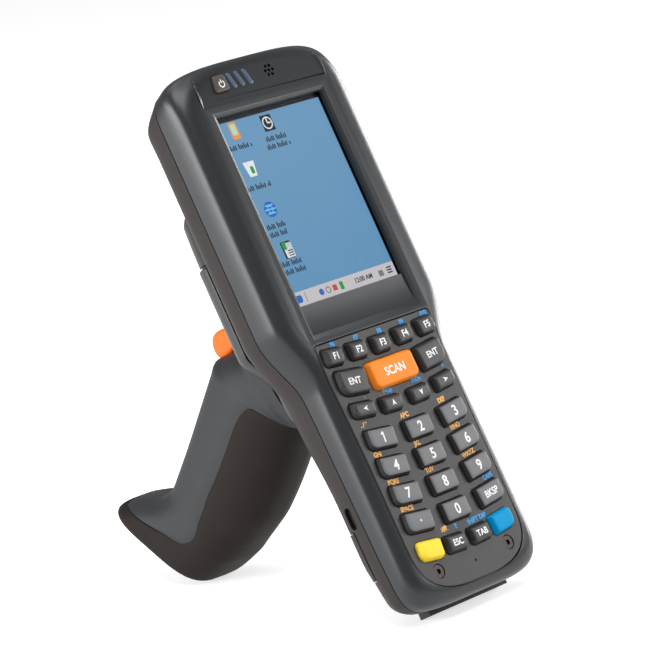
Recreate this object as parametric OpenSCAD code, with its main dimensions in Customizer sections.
// Portable data terminal on a pistol grip. It stands on its dock foot and on the heel of the grip.
// Every module draws in the terminal's own frame: x to the right, y up its length and z out of the
// display, with the origin in the middle of the display's picture. stand() then sets it upright.

/* [Housing] */
// Width of the head, round the display
head_w = 77; // [74:0.5:80]
// Width of the keypad part, below the waist
waist_w = 63; // [61:0.5:66]
// From the middle of the display to the top end
top_len = 52.4; // [51.6:0.2:56]
// From the middle of the display to the bottom end
bottom_len = 138.6; // [138:0.2:142]
// Height of the front face above the display's picture
front_h = 3; // [2.8:0.1:3.4]
// Depth of the parting line behind the picture, at the head
part_depth = 9.2; // [8.5:0.1:10]
// Depth of the back behind the picture
rear_depth = 21.6; // [21:0.2:24]
// Depth of the back behind the picture, at the battery
battery_depth = 18.6; // [18.2:0.2:19.4]
// Wall of the two housings
wall = 2.2; // [1.8:0.1:2.6]
// Radius of the bosses that take the housing screws
boss_r = 3.2; // [3:0.1:3.6]

/* [Display] */
// Width of the visible picture
picture_w = 48.6; // [46:0.2:49]
// Height of the visible picture
picture_h = 64.8; // [62:0.2:65]
// Thickness of the display module
display_t = 3.2; // [2.6:0.1:3.6]
// Thickness of the touch panel
panel_t = 0.9; // [0.7:0.1:1]
// Thickness of the dust gasket
gasket_t = 0.2; // [0.1:0.05:0.3]
// Black border between the opening and the edge of the panel
panel_border = 2.4; // [2:0.1:2.8]

/* [Keypad] */
// Width of the keypad plate at its top
plate_w = 55; // [54:0.2:56]
// Width of the keypad plate near its bottom
plate_foot_w = 52.8; // [52:0.2:54]
// Thickness of the keypad plate
plate_t = 2; // [1.6:0.1:2.2]
// Distance of the plate's top edge below the middle of the display
plate_top = 46.4; // [46:0.1:47]
// Distance of the plate's bottom edge below the middle of the display
plate_bottom = 134.8; // [134:0.1:135.5]
// Height of a key's top above the plate
key_h = 2.2; // [1.6:0.1:2.6]
// Travel of a key
key_travel = 0.6; // [0.4:0.05:0.7]
// Slope of a key's side, as an inset of its top
key_taper = 0.85; // [0.4:0.05:1.1]
// Distance between the columns of number keys
number_col = 17.4; // [17:0.1:17.8]
// Distance between the rows of number keys
number_row = 9.73; // [9.4:0.05:9.9]
// Width of a number key at the plate
number_w = 12.5; // [11:0.1:13]
// Length of a number key at the plate
number_l = 7.2; // [6:0.1:7.6]
// Distance between the function keys
function_col = 11.03; // [10.6:0.05:11.2]
// Width of a function key
function_w = 8.3; // [7.6:0.1:8.4]
// Width of the scan key
scan_w = 21.5; // [19:0.1:22]
// Length of the scan key
scan_l = 9.8; // [8.6:0.1:10]
// Tilt of the outer columns, which follow the thumb's arc
column_tilt = 6; // [0:1:8]

/* [Power key and lights] */
// Place of the power key to the left of the middle
power_x = 18.2; // [17:0.1:19]
// Width of the power key
power_w = 6.8; // [6:0.1:7.2]
// Length of the power key
power_l = 5.8; // [5:0.1:6.2]
// Width of a light pipe
pipe_w = 1.5; // [1.2:0.1:1.8]
// Distance between the light pipes
pipe_pitch = 3.7; // [3.4:0.1:4]
// Radius of a speaker hole
speaker_hole_r = 0.55; // [0.4:0.05:0.7]

/* [Scanner] */
// Width of the scan window
window_w = 34; // [30:0.5:38]
// Length of the scan window along the sloping end
window_l = 8.6; // [7.6:0.2:8.8]
// Thickness of the scan window
window_t = 1.5; // [1.2:0.1:1.8]

/* [Dock and battery] */
// Width of the dock foot
dock_w = 38; // [36:0.5:42]
// Reach of the dock foot below the housing's end
dock_reach = 1; // [0.8:0.1:2]
// Depth of the dock foot's rear edge behind the picture
dock_depth = 12; // [11.4:0.1:12.4]
// Height of the dock foot from its rear to its front edge
dock_t = 5; // [4:0.1:5.2]
// Number of dock contacts
contact_count = 10; // [6:1:12]
// Width of the battery pack
battery_w = 46; // [40:0.5:47]
// Length of the battery pack
battery_l = 33; // [28:0.5:34]
// Thickness of the battery pack
battery_t = 8; // [6:0.2:8.6]
// Travel of the battery latch
latch_travel = 3; // [2:0.1:3.4]

/* [Grip] */
// Angle of the grip from the display's axis towards the bottom end
grip_angle = 34.6; // [30:0.2:38]
// Length of the grip along its own axis
grip_len = 89.6; // [86:0.2:94]
// Half the grip's width
grip_half = 15.8; // [14.6:0.1:17]
// Depth of the grip from its front to its palm side
grip_depth = 41.4; // [40:0.2:44]
// How far the toe reaches out in front of the grip
toe_reach = 19.2; // [16:0.2:22]
// Wall of the grip under its rubber
grip_wall = 2.6; // [2:0.1:3]
// Thickness of the rubber overmould
rubber_t = 1.5; // [1.2:0.1:2]
// Half the width of the saddle that holds the grip
saddle_half = 27.2; // [26:0.2:28]
// Thickness of the saddle
saddle_t = 12.7; // [12:0.1:14]

/* [Trigger] */
// Width of the trigger
trigger_w = 13; // [11:0.2:14]
// Radius of the trigger's pin
trigger_pin_r = 1.5; // [1.2:0.1:1.8]
// Travel of the trigger, in degrees
trigger_travel = 9; // [6:0.5:10]

/* [Fits] */
// Gap round a key and round the power key
key_gap = 0.25; // [0.2:0.01:0.3]
// Gap round plates, covers and windows
cover_gap = 0.3; // [0.2:0.02:0.4]
// Radial clearance of the trigger on its pin
pin_gap = 0.05; // [0.02:0.01:0.1]

/* [Hidden] */

function smooth(from, to, v) = let (t = min(1, max(0, (v - from) / (to - from)))) t * t * (3 - 2 * t);
function mix(a, b, t) = a + (b - a) * t;

// ---- Plan outline of the housings ----
// The head and the foot end are superellipses, joined by straight sides and a waist.
head_shoulder = 22.4;
foot_shoulder = 20.6;
waist_top = -37;
waist_foot = -61;
arc_steps = 9;
head_base = top_len - head_shoulder;

function half_side(y) = mix(head_w / 2, waist_w / 2, smooth(waist_top, waist_foot, y));
// Draws the head inwards by an inset at the side and at the top end: it is squeezed in width and in
// length, which keeps its shoulders.
function head_point(angle, power, side, top) = [
    (head_w / 2 - side * (1 - 0.5 * pow(sin(angle), 4 / power))) * pow(cos(angle), 2 / power),
    head_base + (head_shoulder - top) * pow(sin(angle), 2 / power)
];
function foot_point(angle, power) = [
    waist_w / 2 * pow(cos(angle), 2 / power),
    foot_shoulder - bottom_len - foot_shoulder * pow(sin(angle), 2 / power)
];
function lower_side(power) = concat(
    [[head_w / 2, head_base], [head_w / 2, 0]],
    [for (t = [0 : 0.2 : 1]) let (y = mix(waist_top, waist_foot, t)) [half_side(y), y]],
    [for (i = [0 : arc_steps]) foot_point(86 * i / arc_steps, power)]
);
function tangent(points, i) = points[min(i + 1, len(points) - 1)] - points[max(i - 1, 0)];
function inward(points, i) = let (t = tangent(points, i)) [t[1], -t[0]] / norm(t);
function lower_points(side, foot, power) =
    let (points = lower_side(power))
    [for (i = [0 : len(points) - 1])
        let (foot_part = 1 - smooth(8 - bottom_len, 24 - bottom_len, points[i][1]))
        points[i] + inward(points, i) * mix(side, foot, foot_part)];
function mirrored(points) = [for (i = [len(points) - 1 : -1 : 0]) [-points[i][0], points[i][1]]];
// The whole outline, less an inset at the side, at the top end and at the foot.
function outline(side, top, foot, head_power, foot_power) =
    let (right = concat(
        [for (i = [0 : arc_steps - 1]) head_point(86 * (1 - i / arc_steps), head_power, side, top)],
        lower_points(side, foot, foot_power)
    ))
    concat(right, mirrored(right));

// ---- Layers of the two housings ----
part_bend = mix(waist_top, waist_foot, 0.4);
function part_z(y) = lookup(y, [[-bottom_len, 4.4 - part_depth], [waist_foot, 2 - part_depth],
    [part_bend, -part_depth], [top_len, -part_depth]]);
// Depth of the back, which steps up behind the battery.
function back_z(y) = mix(-battery_depth, -rear_depth, smooth(-96, -64, y));
// Share of the depth, the inset at the side, the top end and the foot, the power of the head's and of
// the foot's corners.
front_layers = [
    [0, 7.8, 3.6, 5.2, 3, 3.6], [0.025, 4.6, 2.2, 3.2, 3.1, 3.6], [0.09, 1.9, 0.9, 1.7, 3.2, 3.7],
    [0.2, 0.6, 0.1, 0.7, 3.5, 4], [0.4, 0.1, 0, 0.2, 4.8, 4.6], [0.66, 0, 0.8, 0, 6, 5.2],
    [1, 0, 2.4, 0.2, 6, 5.4]
];
rear_layers = [
    [0, 0, 2.4, 0.2, 6, 5.4], [0.33, 0.6, 5.1, 0.8, 6, 5.4], [0.6, 1.5, 7.5, 2.6, 6, 5.2],
    [0.78, 3, 9.8, 5, 6, 5], [0.92, 6, 13.5, 8.6, 5.5, 4.6], [1, 10, 17, 12.5, 5, 4.2]
];
head_core = 6;
foot_core = 4.5;
function front_row(l) = [
    for (p = outline(l[1], l[2], l[3], l[4], l[5])) [p[0], p[1], mix(front_h, part_z(p[1]), l[0])]
];
function rear_row(l, extra) = [
    for (p = outline(l[1] - extra, l[2], l[3], l[4], l[5]))
        [p[0], p[1], mix(part_z(p[1]), back_z(p[1]), l[0]) - extra * l[0]]
];
// A core that hollows a housing out: the outline less the wall and an inset.
module core(side, top, foot, z_low, z_high) {
    prism(outline(wall + side, wall + top, wall + foot, head_core, foot_core), z_low, z_high);
}

// Skins rows of points that are mirror images left to right. The ends are closed by strips from
// each point to its mirror image, so they stay closed where a row isn't flat. Rows run away from
// the viewer with their points clockwise, and turned says that they run the other way. With fan, the
// ends are closed by triangles round a point in their middle, which suits rows with close points.
function middle(row) = [for (p = row) 1 / len(row)] * row;
module skin(rows, turned = false, fan = false) {
    count = len(rows[0]);
    tips = fan ? [middle(rows[0]), middle(rows[len(rows) - 1])] : [];
    points = concat([for (row = rows) each row], tips);
    sides = [
        for (r = [0 : len(rows) - 2], i = [0 : count - 1])
            let (a = r * count + i, b = r * count + (i + 1) % count)
            each [[a, b, b + count], [a, b + count, a + count]]
    ];
    last = (len(rows) - 1) * count;
    tip = last + count;
    strips = [
        for (i = [0 : count / 2 - 2])
            let (a = i, b = i + 1, c = count - 2 - i, d = count - 1 - i)
            each [[a, c, b], [a, d, c]]
    ];
    first_cap = fan ? [for (i = [0 : count - 1]) [i, tip, (i + 1) % count]] : strips;
    last_cap = fan
        ? [for (i = [0 : count - 1]) [last + i, last + (i + 1) % count, tip + 1]]
        : [for (f = strips) [last + f[0], last + f[2], last + f[1]]];
    faces = concat(sides, first_cap, last_cap);
    polyhedron(points, turned ? faces : [for (f = faces) [f[0], f[2], f[1]]], convexity = 8);
}

// A straight-sided block from z_low to z_high over an outline.
module prism(points, z_low, z_high) {
    translate([0, 0, z_low]) linear_extrude(z_high - z_low) polygon(points);
}

// A block between two corners, symmetrical about x = 0.
module block(half, y_low, y_high, z_low, z_high) {
    translate([-half, y_low, z_low]) cube([2 * half, y_high - y_low, z_high - z_low]);
}

// Points of a rectangle with a radius for each corner: top right, top left, bottom left, bottom right.
corner_steps = 3;
function corner(cx, cy, r, start) = [
    for (i = [0 : corner_steps]) let (a = start + 90 * i / corner_steps) [cx + r * cos(a), cy + r * sin(a)]
];
function rounded(w, l, r) = concat(
    corner(w / 2 - r[0], l / 2 - r[0], r[0], 0),
    corner(r[1] - w / 2, l / 2 - r[1], r[1], 90),
    corner(r[2] - w / 2, r[2] - l / 2, r[2], 180),
    corner(w / 2 - r[3], r[3] - l / 2, r[3], 270)
);
function moved(points, x, y, turn) = [
    for (p = points) [x + p[0] * cos(turn) - p[1] * sin(turn), y + p[0] * sin(turn) + p[1] * cos(turn)]
];

// ---- Display opening ----
opening_gap = 0.3;
opening_half = picture_w / 2 + opening_gap;
opening_top = picture_h / 2 + 1.5;
opening_foot = -picture_h / 2 - opening_gap;
lip_z = panel_t + gasket_t;
bevel_side = 3.6;
bevel_top = 3.7;
panel_half = opening_half + panel_border;
panel_top = opening_top + panel_border;
panel_foot = opening_foot - panel_border;
pocket_gap = 0.2;

// ---- Keypad plate ----
plate_shoulder = 18.8;
plate_power = 3;
plate_z = front_h - plate_t;
function plate_half(y) = mix(plate_w / 2, plate_foot_w / 2, smooth(-plate_top, -plate_top - 50, y));
function plate_foot_point(a, grow) = [
    (plate_foot_w / 2 + grow) * pow(cos(a), 2 / plate_power),
    plate_shoulder - plate_bottom - (plate_shoulder + grow) * pow(sin(a), 2 / plate_power)
];
function plate_right(grow) = concat(
    [[plate_w / 2 + grow - 1.2, grow - plate_top], [plate_w / 2 + grow, grow - plate_top - 1.2]],
    [for (t = [0.25 : 0.25 : 1]) let (y = -plate_top - 50 * t) [plate_half(y) + grow, y]],
    [for (i = [0 : 7]) plate_foot_point(86 * i / 7, grow)]
);
function plate_outline(grow) = let (right = plate_right(grow)) concat(right, mirrored(right));
plate_ledge = 0.5;
screw_x = 17.14;
screw_y = -127.71;
keypad_head_r = 2.2;
keypad_thread_r = 0.9;
mic_y = -128.9;
mic_hole_r = 0.45;

// ---- Keys ----
flange_t = 1;
flange_gap = 0.2;
flange_grow = 0.4;
flange_top = plate_z - flange_gap;
flange_z = flange_top - flange_t;
dome_t = 0.3;
dome_z = flange_z - key_travel - 0.1;
pad_t = 1.2;
key_top_z = front_h + key_h;
number_top = -81.38;
middle_drop = 0.8;
function arc_y(x, y, drop) = y - drop * (1 - pow(x / number_col, 2));
function number_key(col, row) = [
    col * number_col, arc_y(col * number_col, number_top - row * number_row, middle_drop),
    number_w, number_l, col * column_tilt,
    col < 0 ? [0.8, 0.8, 2.6, 0.8] : col > 0 ? [0.8, 0.8, 0.8, 2.6] : [0.8, 0.8, 1.2, 1.2]
];
function function_key(i) = [
    i * function_col, -51.6 + 0.2 * (abs(i) - 2) * 2, function_w, 6.2, i * column_tilt * 0.35,
    [0.8, 0.8, 1.6, 1.6]
];
arrow_l = 5.6;
coloured_w = 10.4;
small_w = 9.4;
enter_w = 12.8;
enter_l = 9;
// Each key: x, y, width, length, tilt and corner radii.
KEYS = concat(
    [for (i = [-2 : 2]) function_key(i)],
    [
        [-18.8, -61.2, enter_w, enter_l, -column_tilt, [0.9, 1.2, 4, 0.9]],
        [0, -61.9, scan_w, scan_l, 0, [1.6, 1.6, 2.4, 2.4]],
        [18.8, -61.2, enter_w, enter_l, column_tilt, [1.2, 0.9, 0.9, 4]],
        [-19.52, -70.75, 10.2, arrow_l, -column_tilt, [0.8, 1.2, 2.2, 0.8]],
        [-6.72, -72, 9.6, arrow_l, -column_tilt * 0.4, [0.8, 0.8, 1.6, 1.6]],
        [6.72, -72, 9.6, arrow_l, column_tilt * 0.4, [0.8, 0.8, 1.6, 1.6]],
        [19.52, -70.75, 10.2, arrow_l, column_tilt, [1.2, 0.8, 0.8, 2.2]]
    ],
    [for (row = [0 : 3], col = [-1 : 1]) number_key(col, row)],
    [
        [-17.57, -120.44, coloured_w, 6.8, -column_tilt, [0.9, 1.4, 2.8, 1.2]],
        [-5.9, -121.35, small_w, 6, -column_tilt * 0.4, [0.8, 0.8, 1.4, 1.4]],
        [5.9, -121.35, small_w, 6, column_tilt * 0.4, [0.8, 0.8, 1.4, 1.4]],
        [17.57, -120.44, coloured_w, 6.8, column_tilt, [1.4, 0.9, 1.2, 2.8]]
    ]
);
function key_outline(k, grow) = moved(
    rounded(k[2] + 2 * grow, k[3] + 2 * grow, [for (r = k[5]) max(0.3, r + grow * 0.6)]), k[0], k[1], k[4]
);
function raised(points, z) = [for (p = points) [p[0], p[1], z]];

// ---- Power key and light pipes ----
power_rise = 1.1;
power_flange = 0.6;
// The power key stands between the display's panel and the end wall, nearer to the wall.
end_wall = 3.3;
power_room = power_l / 2 + power_flange;
power_y = mix(panel_top + pocket_gap + power_room, top_len - end_wall - power_room, 0.82);
pipe_start = 12.4;
pipe_y = power_y + 0.1;
pipe_l = 5.6;
pipe_tilt = 17;
pipe_rise = 0.1;
speaker_x = 5.5;
speaker_y = power_y + 0.3;
speaker_pitch = 1.7;
head_wall = 2;
head_under = front_h - head_wall;
speaker_r = 3.1;
speaker_t = 3;

// ---- Boards ----
keypad_board_t = 1;
keypad_board_z = dome_z - dome_t - keypad_board_t;
keypad_board_half = 23.4;
board_t = 1.2;
board_z = -display_t - 0.6 - board_t;
board_half = 23.4;
board_top = top_len - 26.4;

// ---- Battery bay and cover ----
cover_top = -84;
wrap_top = -105.4;
cover_foot = -122.6;
wrap_z = -11.6;
tongue_half = 26;
tongue_z = -14.6;
cover_bulge = 0.4;
cover_wall = 1.8;
bay_half = battery_w / 2 + cover_gap;
bay_foot = cover_foot + 1.6;
battery_y = bay_foot + cover_gap;
battery_z = cover_wall - battery_depth;
latch_w = 12;
latch_l = 5.4;
latch_t = 1.6;
latch_foot = -95.4;
latch_depth = 1.3;

// ---- Dock foot ----
dock_foot = -bottom_len - dock_reach;
dock_inner = 11;
contact_pitch = 3.4;
contact_w = 1.8;

// ---- Strap slots ----
slot_top = -97.3;
slot_foot = -104.9;
slot_z = -10.4;
slot_t = 3.5;
slot_deep = 2.6;

// ---- Scan window ----
window_angle = 34.2;
window_y = top_len - 8;
window_z = -13.03;
engine_w = 26;
engine_top = top_len - 13.4;
engine_l = 12.6;
engine_z = -16.8;
engine_t = 9.6;

// ---- Rear hump and saddle ----
hump_half = 31;
hump_top = 15;
hump_depth = 10.8;
saddle_top = -6;
saddle_foot = -71;
saddle_neck = 17.2;
saddle_corner = 3.6;
saddle_z = -rear_depth - saddle_t - 0.3;
hump_foot = saddle_top + cover_gap;
saddle_right = concat(
    [for (a = [86 : -21.5 : 0])
        [saddle_half + saddle_corner * (cos(a) - 1), saddle_top + saddle_corner * (sin(a) - 1)]],
    [for (t = [0 : 0.25 : 1]) let (y = mix(-38, -54, t))
        [mix(saddle_half, saddle_neck, smooth(-38, -54, y)), y]],
    [for (a = [0 : 17.2 : 86]) [saddle_neck * pow(cos(a), 0.8), saddle_foot + 14 - 14 * pow(sin(a), 0.8)]]
);
function saddle_row(inset, z) =
    let (right = [for (i = [0 : len(saddle_right) - 1])
        let (p = saddle_right[i] + inward(saddle_right, i) * inset) [p[0], p[1], z]])
    concat(right, [for (i = [len(right) - 1 : -1 : 0]) [-right[i][0], right[i][1], right[i][2]]]);
saddle_screw_x = 19.2;
saddle_screw_y = [-14.5, -35];
trigger_rear = -32.5;
trigger_arm = 18.1;
plunger_l = 1.8;
plunger_gap = 0.4;
switch_front = trigger_rear - trigger_arm * sin(trigger_travel) - plunger_l - plunger_gap;
switch_t = 6.1;
cable_half = 3;
cable_t = 0.6;
cable_y = switch_front - switch_t - cable_t / 2;

// ---- Grip ----
// Along the grip's own axis each station has the offset of its front, the offset of its palm side
// and its half width. Offsets are measured from the axis, positive towards the palm.
grip_base = [-45, -40];
grip_dir = [-sin(grip_angle), -cos(grip_angle)];
palm_dir = [-cos(grip_angle), sin(grip_angle)];
function at(s, o) = grip_base + s * grip_dir + o * palm_dir;
palm_offset = 16.5;
front_offset = palm_offset - grip_depth;
function grip_front(s) = front_offset - toe_reach * lookup(s / grip_len, [
    [0, 0.03], [0.5, 0.02], [0.75, 0.04], [0.8, 0.12], [0.843, 0.28], [0.876, 0.47], [0.906, 0.66],
    [0.946, 0.87], [0.97, 0.98], [0.983, 1], [0.993, 0.98], [1, 0.92]
]);
function grip_palm(s) = palm_offset - 17 * lookup(s / grip_len, [
    [0, 0], [0.443, 0.02], [0.554, 0.06], [0.62, 0.11], [0.72, 0.26], [0.842, 0.48], [0.93, 0.69],
    [0.965, 0.78], [0.985, 0.84], [1, 0.91]
]);
function grip_side(s) = grip_half * lookup(s / grip_len, [
    [0, 1.02], [0.3, 1], [0.7, 0.98], [0.9, 1], [0.97, 1], [0.99, 0.98], [1, 0.93]
]);
function section_power(s) = mix(2.5, 3.6, smooth(0.7, 0.95, s / grip_len));
// Edge of the rubber, as an angle round the section from the palm.
function rubber_edge(s) = lookup(s / grip_len, [
    [0.086, 30], [0.1, 60], [0.124, 77], [0.19, 87], [0.6, 89], [0.73, 86], [0.8, 82], [0.86, 86],
    [0.895, 97], [0.925, 128], [0.95, 179.6], [1.1, 179.6]
]);
function curve(v, e) = sign(v) * pow(abs(v), e);
// A point of a section whose front is f, palm is b and half width is a, all less an inset.
function section_point(f, b, a, s, angle, inset) =
    let (
        mid = (f + b) / 2,
        half = norm(b - f) / 2 - inset,
        way = (b - f) / norm(b - f),
        q = mid + way * half * curve(cos(angle), 2 / section_power(s))
    )
    [(a - inset) * curve(sin(angle), 2 / section_power(s)), q[0], q[1]];
rubber_cols = 9;
front_cols = 9;
function rubber_angle(s, j) = rubber_edge(s) * (j + 0.5) / (rubber_cols - 0.5);
// The body's step for the rubber lies just outside the rubber's edge.
function front_angle(s, j) =
    let (first = mix(0.1, 0.5, smooth(0.9, 0.95, s / grip_len)))
    mix(rubber_edge(s), 180, (j + first) / (front_cols + 0.5 + first));
function ring_half(f, b, a, s, inset_back, inset_front) = concat(
    [for (j = [0 : rubber_cols - 1]) section_point(f, b, a, s, rubber_angle(s, j), inset_back)],
    [for (j = [0 : front_cols]) section_point(f, b, a, s, front_angle(s, j), inset_front)]
);
function ring(f, b, a, s, inset_back, inset_front) =
    let (right = ring_half(f, b, a, s, inset_back, inset_front))
    concat(right, [for (i = [len(right) - 1 : -1 : 0]) [-right[i][0], right[i][1], right[i][2]]]);
function grip_ring(s, inset_back, inset_front) =
    ring(at(s, grip_front(s)), at(s, grip_palm(s)), grip_side(s), s, inset_back, inset_front);
// The neck, from the saddle to the grip's first full section: front point, palm point, half width.
neck_z = saddle_z - 0.02;
neck_rows = [
    [[-14, neck_z], [-69.5, neck_z], 16.6],
    [[-16, neck_z - 5.5], [-68.6, neck_z - 1.6], 16.3],
    [[-20.5, neck_z - 10.5], [-67.6, neck_z - 3], 16],
    [[-31.4, neck_z - 13], [-66.8, neck_z - 4], 15.9],
    [[-31.2, neck_z - 19], [-66.2, neck_z - 4.9], 15.9],
    [[-30.8, neck_z - 25], [-65.6, neck_z - 5.7], 15.9]
];
grip_start = 12;
step_slope = 0.05;
grip_stations = [
    0.132, 0.14, 0.175, 0.24, 0.33, 0.43, 0.52, 0.6, 0.66, 0.72, 0.75, 0.78, 0.81, 0.84, 0.87, 0.905,
    0.935, 0.95
];
function station(i) = grip_stations[i] * grip_len;

// ---- Trigger ----
trigger_pivot = [-25.5, saddle_z - 6.5];
trigger_half = trigger_w / 2;
hub_r = 3.4;
hub_half = 3.6;
slot_half = trigger_half + 0.6;
pin_half = grip_half - 2.6;

// ---- Standing pose ----
// The terminal leans back until the dock foot's rear edge and the heel of the grip touch the ground.
foot_edge = [dock_foot, -dock_depth];
heel_points = [
    for (s = [0.9 * grip_len : 0.2 : grip_len]) at(s, grip_palm(s))
];
lean = min([for (p = concat(heel_points, [at(grip_len, grip_palm(grip_len))]))
    atan((p[0] - foot_edge[0]) / (foot_edge[1] - p[1]))]);
lift = -(foot_edge[0] * cos(lean) + foot_edge[1] * sin(lean));
function frame_y(p) = p[0] * sin(lean) - p[1] * cos(lean);
rear_most = max([for (s = [0.9 * grip_len : 0.2 : grip_len]) frame_y(at(s, grip_front(s)))]);
front_most = min([for (l = front_layers, p = front_row(l)) frame_y([p[1], p[2]])]);
shift = -(rear_most + front_most) / 2;

module stand() {
    translate([0, shift, lift]) rotate([90 - lean, 0, 0]) children();
}

// ---- Housings ----
housing_screw_places = [[-30, board_top], [30, board_top], [-31, waist_top + 1], [31, waist_top + 1]];
housing_thread_r = 1.1;
housing_head_r = 2.3;
housing_head_t = 1.8;
screw_seat = 4.4;
boss_top = -3.4;
boss_gap = 0.15;
boss_root = wall - 0.2;
post_foot = -4;
post_r = 3.4;

module strap_slots(z_mid) {
    for (side = [-1, 1])
        translate([side * waist_w / 2, (slot_top + slot_foot) / 2, z_mid])
            rotate([0, 90, 0])
                linear_extrude(2 * slot_deep, center = true)
                    polygon(rounded(slot_t, slot_top - slot_foot, [1.7, 1.7, 1.7, 1.7]));
}

module speaker_holes(z_low, z_high) {
    for (row = [-1 : 1], i = [0 : 2 - abs(row)])
        translate([
            speaker_x + (i - (2 - abs(row)) / 2) * speaker_pitch,
            speaker_y + row * speaker_pitch * 0.87, z_low
        ])
            cylinder(h = z_high - z_low, r = speaker_hole_r, $fn = 24);
}

module light_pipe(i, grow, z_low, z_high) {
    translate([-pipe_start + i * pipe_pitch, pipe_y, z_low])
        rotate(pipe_tilt)
            linear_extrude(z_high - z_low)
                polygon(rounded(pipe_w + 2 * grow, pipe_l + 2 * grow,
                    [0.6, 0.6, 0.6, 0.6]));
}

power_shape = moved(
    concat(
        corner(power_w / 2 - 1.6, power_l / 2 - 1.2, 1.2, 0),
        corner(2.4 - power_w / 2, power_l / 2 - 1.2, 1.2, 90),
        corner(1.2 - power_w / 2, 1.2 - power_l / 2, 1.2, 180),
        corner(power_w / 2 - 1.2, 1.2 - power_l / 2, 1.2, 270)
    ), -power_x, power_y, 0
);

function grown(points, grow) =
    let (n = len(points))
    [for (i = [0 : n - 1])
        let (t = points[(i + 1) % n] - points[(i + n - 1) % n])
        points[i] + [t[1], -t[0]] / norm(t) * grow];

module display_bevel() {
    low = front_h - 1.4;
    high = front_h + 0.01;
    skin(turned = true, rows = [
        [
            [opening_half, opening_top, low], [opening_half, opening_foot, low],
            [-opening_half, opening_foot, low], [-opening_half, opening_top, low]
        ],
        [
            [opening_half + bevel_side, opening_top + bevel_top, high],
            [opening_half + bevel_side, 0.6 - plate_top, high],
            [-opening_half - bevel_side, 0.6 - plate_top, high],
            [-opening_half - bevel_side, opening_top + bevel_top, high]
        ]
    ]);
}

// The posts under the keypad's screws, each on a rib from the end wall.
module keypad_posts(z_high) {
    for (side = [-1, 1]) {
        translate([side * screw_x, screw_y, post_foot])
            cylinder(h = z_high - post_foot, r = post_r, $fn = 32);
        translate([side * screw_x, 0, 0]) block(1.4, 1 - plate_bottom, screw_y, post_foot, z_high);
    }
}

module front_housing() {
    color([0.2, 0.2, 0.21]) stand() difference() {
        union() {
            difference() {
                skin([for (l = front_layers) front_row(l)]);
                core(0.9, 3.4, 1.4, -2 * part_depth, -2.2);
                core(9.6, 4.6, 7, -2.3, head_under);
                block(power_x + power_w / 2 + 1, 0, top_len - end_wall + 0.1, -2.3, head_under);
            }
            for (p = housing_screw_places)
                translate([p[0], p[1], part_z(p[1]) + boss_gap])
                    cylinder(h = boss_top + 2 - part_z(p[1]) - boss_gap, r = boss_r, $fn = 32);
            keypad_posts(plate_z);
        }
        display_bevel();
        block(opening_half, opening_foot, opening_top, -part_depth, front_h + 1);
        block(panel_half + pocket_gap, panel_foot - pocket_gap, panel_top + pocket_gap, -2.4, lip_z);
        prism(plate_outline(cover_gap), plate_z, front_h + 1);
        difference() {
            prism(plate_outline(-plate_ledge), -2.4, plate_z + 0.1);
            keypad_posts(plate_z + 1);
        }
        for (side = [-1, 1])
            translate([side * screw_x, screw_y, -3.2]) cylinder(h = 9, r = keypad_thread_r, $fn = 24);
        for (p = housing_screw_places)
            translate([p[0], p[1], part_z(p[1]) - 1])
                cylinder(h = boss_top - part_z(p[1]) + 1, r = housing_thread_r, $fn = 24);
        prism(grown(power_shape, key_gap), head_under - 0.1, front_h + 1);
        for (i = [0 : 2])
            light_pipe(i, 0.05, head_under - 0.1, front_h + 1);
        speaker_holes(head_under - 0.1, front_h + 1);
    }
}

module window_place() {
    translate([0, window_y, window_z]) rotate([-90 - window_angle, 0, 0]) children();
}

module hump() {
    skin(turned = true, rows = [
        for (y = [hump_top, hump_top - 1.5, hump_top - 4, hump_top - 9, hump_foot])
            let (
                rise = smooth(hump_top + 1.5, hump_top - 5, y),
                z = -rear_depth + 2 - (hump_depth + 2) * rise,
                side = mix(3, 0.6, rise),
                right = [
                    [hump_half - side, z + 8 * rise + 0.4], [hump_half - side - 1.4, z + 4.4 * rise + 0.2],
                    [hump_half - side - 4.6, z]
                ]
            )
            concat(
                [[hump_half - side, y, -rear_depth + 5]], [for (p = right) [p[0], y, p[1]]],
                [for (i = [2 : -1 : 0]) [-right[i][0], y, right[i][1]]],
                [[side - hump_half, y, -rear_depth + 5]]
            )
    ]);
}

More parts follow.
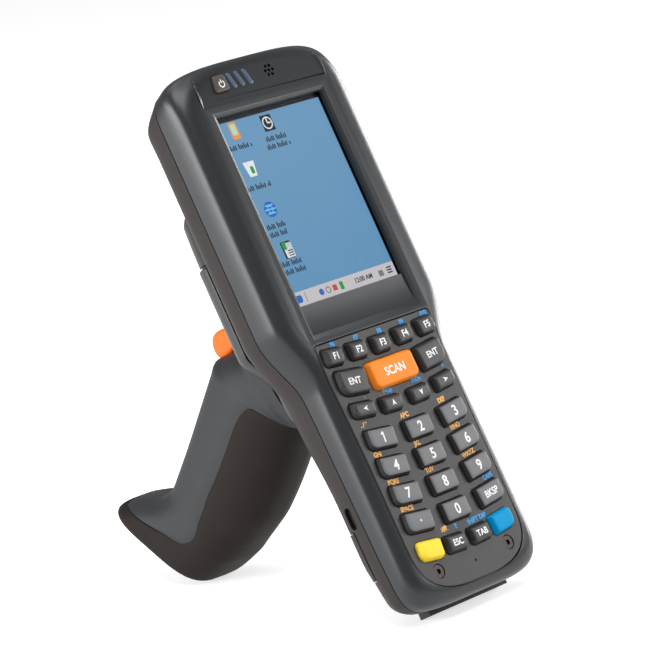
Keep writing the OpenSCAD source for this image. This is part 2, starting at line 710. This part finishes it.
module rear_housing() {
    color([0.24, 0.21, 0.2]) stand() difference() {
        union() {
            difference() {
                skin([for (l = rear_layers) rear_row(l, 0)]);
                core(1.2, 4.6, 2.6, -12, 3);
                intersection() {
                    union() {
                        core(2.2, 8.4, 0, -17, -11.9);
                        core(5, 12, 0, wall - rear_depth, -16.9);
                    }
                    block(head_w, waist_foot + 1, top_len, -rear_depth, 0);
                }
            }
            difference() {
                hump();
                block(head_w, waist_foot + 1, top_len, wall - rear_depth, 0);
            }
            for (p = housing_screw_places)
                translate([p[0], p[1], back_z(p[1]) + boss_root])
                    cylinder(h = part_z(p[1]) - back_z(p[1]) - boss_root - boss_gap, r = boss_r, $fn = 32);
            for (x = [-1, 1], y = saddle_screw_y)
                translate([x * saddle_screw_x, y, -rear_depth + 0.5]) cylinder(h = 6.5, r = 3, $fn = 32);
        }
        block(tongue_half, wrap_top - 1, cover_top, -rear_depth - 2, tongue_z);
        block(waist_w, cover_foot, wrap_top, -rear_depth - 2, wrap_z);
        block(bay_half, bay_foot, cover_top - 1.6, -rear_depth - 2, 3);
        strap_slots(slot_z);
        translate([0, dock_foot - 1, -dock_depth + dock_t / 2])
            block(dock_w / 2 + cover_gap, 0, dock_inner + 1,
                -dock_t / 2 - cover_gap, dock_t / 2 + cover_gap);
        window_place() {
            block(window_w / 2 + cover_gap, -window_l / 2 - cover_gap, window_l / 2 + cover_gap,
                -window_t, 12);
            block(window_w / 2 - 2, 2 - window_l / 2, window_l / 2 - 2, -9, 12);
        }
        for (p = housing_screw_places) {
            translate([p[0], p[1], back_z(p[1]) - 1]) {
                cylinder(h = 30, r = housing_thread_r + 0.2, $fn = 24);
                cylinder(h = 1 + screw_seat, r = housing_head_r + 0.2, $fn = 32);
            }
        }
        for (x = [-1, 1], y = saddle_screw_y)
            translate([x * saddle_screw_x, y, -rear_depth - 1]) cylinder(h = 6, r = 1.1, $fn = 24);
        block(cable_half + 0.8, cable_y - 2, cable_y + 2, -rear_depth - 1, 3);
    }
}

// ---- Display ----
module lcd_module() {
    color([0.35, 0.55, 0.75]) stand()
        block(panel_half - 0.4, panel_foot + 0.3, panel_top - 0.3, -display_t, 0);
}

module touch_panel() {
    color([0.1, 0.1, 0.12, 0.4]) stand()
        block(panel_half, panel_foot, panel_top, 0, panel_t);
}

module display_gasket() {
    color([0.05, 0.05, 0.05]) stand() difference() {
        block(panel_half, panel_foot, panel_top, panel_t, panel_t + gasket_t);
        block(opening_half + 0.1, opening_foot - 0.1, opening_top + 0.1, 0, front_h);
    }
}

// ---- Keypad ----
module keypad_plate() {
    color([0.23, 0.21, 0.2]) stand() difference() {
        prism(plate_outline(0), plate_z, front_h);
        for (k = KEYS)
            prism(key_outline(k, key_gap), plate_z - 1, front_h + 1);
        for (side = [-1, 1]) translate([side * screw_x, screw_y, 0]) {
            cylinder(h = front_h + 1, r = keypad_thread_r + 0.2, $fn = 24);
            translate([0, 0, plate_z + 0.7]) cylinder(h = plate_t, r = keypad_head_r + 0.3, $fn = 32);
        }
        translate([0, mic_y, 0]) cylinder(h = front_h + 1, r = mic_hole_r, $fn = 24);
    }
}

module key(i, tint) {
    k = KEYS[i];
    color(tint) stand()
        polyhedron_key([
            raised(key_outline(k, flange_grow), flange_z),
            raised(key_outline(k, flange_grow), flange_top),
            raised(key_outline(k, 0), flange_top),
            raised(key_outline(k, 0), front_h + 0.2),
            raised(key_outline(k, -key_taper * 0.75), key_top_z - 0.4),
            raised(key_outline(k, -key_taper - 0.3), key_top_z)
        ]);
}

// Skins rows that aren't mirror images. Each end is one flat polygon.
module polyhedron_key(rows) {
    count = len(rows[0]);
    points = [for (row = rows) each row];
    sides = [
        for (r = [0 : len(rows) - 2], i = [0 : count - 1])
            let (a = r * count + i, b = r * count + (i + 1) % count)
            each [[a, b + count, b], [a, a + count, b + count]]
    ];
    last = (len(rows) - 1) * count;
    polyhedron(points, concat(sides, [[for (i = [0 : count - 1]) i]],
        [[for (i = [count - 1 : -1 : 0]) last + i]]), convexity = 4);
}

dark_key = [0.15, 0.14, 0.14];
grey_key = [0.33, 0.33, 0.34];
orange_key = [0.95, 0.45, 0.1];

module dome_sheet() {
    color([0.85, 0.85, 0.82]) stand()
        block(keypad_board_half, screw_y + 5, -plate_top - 1, dome_z - dome_t, dome_z);
}

module keypad_board() {
    color([0.1, 0.35, 0.2]) stand()
        block(keypad_board_half, screw_y + 4, -plate_top - 0.5, keypad_board_z, dome_z - dome_t);
}

module keypad_screws() {
    color([0.3, 0.3, 0.32]) stand() for (side = [-1, 1])
        translate([side * screw_x, screw_y, 0]) difference() {
            union() {
                translate([0, 0, -3]) cylinder(h = plate_z + 3.7, r = keypad_thread_r - 0.02, $fn = 24);
                translate([0, 0, plate_z + 0.7]) cylinder(h = 1, r = keypad_head_r, $fn = 32);
            }
            translate([0, 0, plate_z + 1]) cylinder(h = 2, r = 1, $fn = 6);
        }
}

module microphone() {
    color([0.6, 0.6, 0.6]) stand() translate([0, mic_y, plate_z - 1.2]) cylinder(h = 1.2, r = 1.6, $fn = 32);
}

// ---- Top of the head ----
module power_key() {
    color([0.28, 0.24, 0.23]) stand() {
        prism(power_shape, head_under - flange_t - 0.1, front_h + power_rise - 0.3);
        prism(grown(power_shape, -0.4), front_h, front_h + power_rise);
        prism(grown(power_shape, power_flange), head_under - flange_t - 0.1, head_under - 0.1);
    }
}

module light_pipes() {
    color([0.45, 0.5, 0.6]) stand() {
        for (i = [0 : 2])
            light_pipe(i, 0, head_under - 1, front_h + pipe_rise);
        translate([-pipe_start + pipe_pitch, pipe_y, 0])
            block(pipe_pitch + 1.2, -2, 2, head_under - 1.6, head_under - 0.6);
    }
}

module speaker() {
    color([0.12, 0.12, 0.12]) stand() translate([speaker_x, speaker_y, head_under - speaker_t])
        cylinder(h = speaker_t, r = speaker_r, $fn = 48);
}

// ---- Boards, scanner and screws ----
module main_board() {
    color([0.1, 0.4, 0.25]) stand() block(board_half, screw_y + 6, board_top, board_z, board_z + board_t);
}

module housing_screws() {
    color([0.35, 0.35, 0.37]) stand() for (p = housing_screw_places)
        translate([p[0], p[1], back_z(p[1]) + screw_seat - housing_head_t]) {
            cylinder(h = housing_head_t, r = housing_head_r, $fn = 32);
            cylinder(h = boss_top - 1 - back_z(p[1]) - screw_seat + housing_head_t,
                r = housing_thread_r - 0.02, $fn = 24);
        }
}

module scan_window() {
    color([0.25, 0.05, 0.05]) stand() window_place()
        block(window_w / 2, -window_l / 2, window_l / 2, -window_t, 0);
}

module scan_engine() {
    color([0.15, 0.15, 0.16]) stand()
        block(engine_w / 2, engine_top - engine_l, engine_top, engine_z, engine_z + engine_t);
}

// ---- Battery ----
module battery_pack() {
    color([0.1, 0.1, 0.12]) stand()
        block(battery_w / 2, battery_y, battery_y + battery_l, battery_z, battery_z + battery_t);
}

module battery_cover() {
    color([0.22, 0.2, 0.19]) stand() difference() {
        intersection() {
            skin([for (l = rear_layers) rear_row(l, cover_bulge)]);
            union() {
                block(tongue_half - cover_gap, wrap_top - 1, cover_top - cover_gap,
                    -rear_depth - 3, tongue_z - cover_gap);
                block(waist_w, cover_foot + cover_gap, wrap_top - cover_gap,
                    -rear_depth - 3, wrap_z - cover_gap);
            }
        }
        block(bay_half, battery_y - cover_gap, battery_y + battery_l + cover_gap, battery_z, 3);
        block(latch_w / 2 + cover_gap, latch_foot - cover_gap,
            latch_foot + latch_l + latch_travel + cover_gap, -rear_depth - 3, latch_depth - battery_depth);
    }
}

module battery_latch() {
    color([0.3, 0.28, 0.27]) stand() {
        block(latch_w / 2, latch_foot, latch_foot + latch_l,
            latch_depth - battery_depth - latch_t, latch_depth - battery_depth);
        for (i = [0 : 2])
            block(latch_w / 2 - 1.5, latch_foot + 1.1 + i * 1.4, latch_foot + 1.6 + i * 1.4,
                latch_depth - battery_depth - latch_t - 0.3,
                latch_depth - battery_depth - latch_t);
    }
}

// ---- Dock ----
module dock_connector() {
    color([0.06, 0.06, 0.06]) stand() difference() {
        block(dock_w / 2, dock_foot, dock_foot + dock_inner, -dock_depth, -dock_depth + dock_t);
        for (i = [0 : contact_count - 1])
            translate([(i - (contact_count - 1) / 2) * contact_pitch, 0, 0])
                block(contact_w / 2, dock_foot - 1, dock_foot + dock_inner + 1,
                    -dock_depth + 1.6, -dock_depth + 2.9);
    }
}

module dock_contacts() {
    color([0.8, 0.65, 0.35]) stand()
        for (i = [0 : contact_count - 1])
            translate([(i - (contact_count - 1) / 2) * contact_pitch, 0, 0])
                block(contact_w / 2, dock_foot + 0.3, dock_foot + dock_inner + 1,
                    -dock_depth + 1.6, -dock_depth + 2.9);
}

// ---- Grip ----
module grip_saddle() {
    color([0.25, 0.25, 0.26]) stand() difference() {
        skin([
            saddle_row(0.8, -rear_depth - 0.3), saddle_row(0, -rear_depth - 1.6),
            saddle_row(0, saddle_z + 3),
            saddle_row(0.4, saddle_z + 1.5), saddle_row(1.5, saddle_z + 0.4), saddle_row(3, saddle_z)
        ]);
        for (x = [-1, 1], y = saddle_screw_y) translate([x * saddle_screw_x, y, saddle_z - 1]) {
            cylinder(h = 20, r = 1.3, $fn = 24);
            cylinder(h = 4, r = 2.6, $fn = 32);
        }
        block(cable_half + 0.8, cable_y - 2, cable_y + 2, saddle_z - 1, 0);
    }
}

module grip_screws() {
    color([0.35, 0.35, 0.37]) stand() for (x = [-1, 1], y = saddle_screw_y)
        translate([x * saddle_screw_x, y, saddle_z + 1]) {
            cylinder(h = 2, r = 2.3, $fn = 32);
            cylinder(h = saddle_t + 4, r = 1.08, $fn = 24);
        }
}

trigger_path = [
    [-24.5, saddle_z - 1.5], [-20.5, saddle_z - 5.5], [-17, saddle_z - 16], [-20, saddle_z - 33],
    [-36, saddle_z - 32.6], [-40, saddle_z - 30], [-41, saddle_z - 12], [-34, saddle_z - 1.5]
];

module grip_body() {
    color([0.27, 0.27, 0.28]) stand() {
        block(11, switch_front - 8, switch_front - 2.6, saddle_z - 32.6, saddle_z - 30.6);
        grip_shell();
    }
}

module grip_shell() {
    difference() {
        skin(turned = true, fan = true, rows = concat(
            [for (r = neck_rows) ring(r[0], r[1], r[2], grip_start, 0, 0)],
            [grip_ring(station(0) - step_slope, 0, 0)],
            [for (i = [0 : len(grip_stations) - 3]) grip_ring(station(i), rubber_t, 0)],
            [for (i = [len(grip_stations) - 2 : len(grip_stations) - 1])
                grip_ring(station(i), rubber_t, rubber_t)],
            [
                grip_ring(grip_len - rubber_t - 1.2, rubber_t, rubber_t),
                grip_ring(grip_len - rubber_t, rubber_t + 1.5, rubber_t + 1.5)
            ]
        ));
        skin(turned = true, fan = true, rows = concat(
            [for (r = [neck_rows[0], neck_rows[3], neck_rows[5]])
                ring(r[0] + [-2, 1], r[1], r[2], grip_start, grip_wall + 1, grip_wall + 1)],
            [for (t = [0.16, 0.33, 0.52, 0.66, 0.75, 0.84, 0.92])
                grip_ring(t * grip_len, grip_wall + rubber_t, grip_wall + rubber_t)]
        ));
        translate([-slot_half, 0, 0]) rotate([90, 0, 90]) linear_extrude(2 * slot_half) polygon(trigger_path);
        translate([-grip_half - 1, trigger_pivot[0], trigger_pivot[1]]) rotate([0, 90, 0])
            cylinder(h = 2 * grip_half + 2, r = trigger_pin_r, $fn = 32);
    }
}

// The rubber is a sheet that wraps the palm side and closes over the base.
function overmould_row(s, inset) =
    let (
        f = at(s, grip_front(s)), b = at(s, grip_palm(s)), a = grip_side(s),
        right = [for (j = [0 : rubber_cols - 1]) section_point(f, b, a, s, rubber_angle(s, j), inset)]
    )
    concat([for (i = [rubber_cols - 1 : -1 : 0]) [-right[i][0], right[i][1], right[i][2]]], right);
function cap_row(s, share, inset) =
    let (row = overmould_row(s, inset), mid = at(s, (grip_front(s) + grip_palm(s)) / 2))
    [for (p = row) [p[0] * share, mix(mid[0], p[1], share), mix(mid[1], p[2], share)]];
overmould_outer = concat(
    [for (i = [0 : len(grip_stations) - 1]) overmould_row(station(i), 0)],
    [
        overmould_row(grip_len - 1.4, 0), overmould_row(grip_len, 0),
        cap_row(grip_len, 0.5, 0), cap_row(grip_len, 0.05, 0)
    ]
);
overmould_inner = concat(
    [for (i = [0 : len(grip_stations) - 1]) overmould_row(station(i), rubber_t)],
    [
        overmould_row(grip_len - rubber_t - 1.2, rubber_t),
        overmould_row(grip_len - rubber_t, rubber_t + 1.5),
        cap_row(grip_len - rubber_t, 0.5, rubber_t + 1.5), cap_row(grip_len - rubber_t, 0.05, rubber_t + 1.5)
    ]
);

// Closes two matching grids of points into one sheet with a thickness.
module sheet(outer, inner) {
    rows = len(outer);
    cols = len(outer[0]);
    shift_inner = rows * cols;
    points = concat([for (r = outer) each r], [for (r = inner) each r]);
    outer_faces = [
        for (r = [0 : rows - 2], i = [0 : cols - 2])
            let (a = r * cols + i, b = a + 1)
            each [[a, b, b + cols], [a, b + cols, a + cols]]
    ];
    inner_faces = [for (f = outer_faces) [f[0] + shift_inner, f[2] + shift_inner, f[1] + shift_inner]];
    rim = concat(
        [for (i = [0 : cols - 1]) i],
        [for (r = [1 : rows - 1]) r * cols + cols - 1],
        [for (i = [cols - 2 : -1 : 0]) (rows - 1) * cols + i],
        [for (r = [rows - 2 : -1 : 1]) r * cols]
    );
    n = len(rim);
    rim_faces = [
        for (i = [0 : n - 1])
            let (a = rim[i], b = rim[(i + 1) % n])
            each [[b, a, a + shift_inner], [b, a + shift_inner, b + shift_inner]]
    ];
    polyhedron(points, concat(outer_faces, inner_faces, rim_faces), convexity = 10);
}

module grip_overmould() {
    color([0.16, 0.14, 0.13]) stand() sheet(overmould_outer, overmould_inner);
}

// ---- Trigger ----
trigger_profile = concat(
    [for (a = [150 : -30 : -30]) trigger_pivot + hub_r * [cos(a), sin(a)]],
    [
        [-25, saddle_z - 14.4], [-23.6, saddle_z - 19.4], [-22.9, saddle_z - 23.4], [-23.1, saddle_z - 26.1],
        [-24.2, saddle_z - 28.1], [-26.1, saddle_z - 29.3], [-28.5, saddle_z - 29.6],
        [-30.8, saddle_z - 29.1], [-32.2, saddle_z - 27.4], [trigger_rear, saddle_z - 24.6],
        [-31.6, saddle_z - 20.8], [-28.8, saddle_z - 13.4]
    ]
);

module trigger() {
    color([0.95, 0.42, 0.1]) stand() difference() {
        union() {
            translate([-hub_half, 0, 0]) rotate([90, 0, 90]) linear_extrude(2 * hub_half)
                polygon(trigger_profile);
            intersection() {
                translate([-trigger_half, 0, 0]) rotate([90, 0, 90]) linear_extrude(2 * trigger_half)
                    polygon(trigger_profile);
                block(trigger_half, -60, 0, saddle_z - 40, saddle_z - 12.5);
            }
        }
        translate([-20, trigger_pivot[0], trigger_pivot[1]]) rotate([0, 90, 0])
            cylinder(h = 40, r = trigger_pin_r + pin_gap, $fn = 32);
    }
}

module trigger_pin() {
    color([0.7, 0.7, 0.72]) stand() translate([-pin_half, trigger_pivot[0], trigger_pivot[1]])
        rotate([0, 90, 0]) cylinder(h = 2 * pin_half, r = trigger_pin_r - 0.01, $fn = 32);
}

spring_r = 2.3;
spring_wire = 0.35;
spring_turns = 3;
module trigger_spring() {
    color([0.75, 0.75, 0.78]) stand() translate([hub_half + 0.3, trigger_pivot[0], trigger_pivot[1]]) {
        rotate([0, 90, 0]) difference() {
            cylinder(h = spring_turns * 2 * spring_wire, r = spring_r + spring_wire, $fn = 48);
            translate([0, 0, -1])
                cylinder(h = spring_turns * 2 * spring_wire + 2, r = spring_r - spring_wire, $fn = 48);
        }
        translate([spring_wire, -spring_r, -4.6]) cylinder(h = 4.6, r = 0.8 * spring_wire, $fn = 24);
    }
}

module trigger_switch() {
    color([0.08, 0.08, 0.09]) stand() {
        block(3.2, switch_front - switch_t, switch_front, saddle_z - 30.6, saddle_z - 19);
        block(1, switch_front, switch_front + plunger_l, saddle_z - 26, saddle_z - 24);
    }
}

module trigger_cable() {
    color([0.6, 0.55, 0.45]) stand()
        block(cable_half, cable_y - cable_t / 2, cable_y + cable_t / 2, saddle_z - 24, board_z);
}

front_housing();
rear_housing();
keypad_plate();
lcd_module();
touch_panel();
display_gasket();
key(0, dark_key);  // key_f1
key(1, dark_key);  // key_f2
key(2, dark_key);  // key_f3
key(3, dark_key);  // key_f4
key(4, dark_key);  // key_f5
key(5, dark_key);  // key_enter_left
key(6, orange_key);  // key_scan
key(7, dark_key);  // key_enter_right
key(8, dark_key);  // key_left
key(9, dark_key);  // key_up
key(10, dark_key);  // key_down
key(11, dark_key);  // key_right
key(12, grey_key);  // key_1
key(13, grey_key);  // key_2
key(14, grey_key);  // key_3
key(15, grey_key);  // key_4
key(16, grey_key);  // key_5
key(17, grey_key);  // key_6
key(18, grey_key);  // key_7
key(19, grey_key);  // key_8
key(20, grey_key);  // key_9
key(21, grey_key);  // key_point
key(22, grey_key);  // key_0
key(23, grey_key);  // key_backspace
key(24, [0.95, 0.8, 0.15]);  // key_yellow
key(25, dark_key);  // key_escape
key(26, dark_key);  // key_tab
key(27, [0.05, 0.5, 0.8]);  // key_blue
power_key();
light_pipes();
speaker();
microphone();
dome_sheet();
keypad_board();
main_board();
keypad_screws();
housing_screws();
scan_window();
scan_engine();
battery_pack();
battery_cover();
battery_latch();
dock_connector();
dock_contacts();
grip_saddle();
grip_screws();
grip_body();
grip_overmould();
trigger();
trigger_pin();
trigger_spring();
trigger_switch();
trigger_cable();
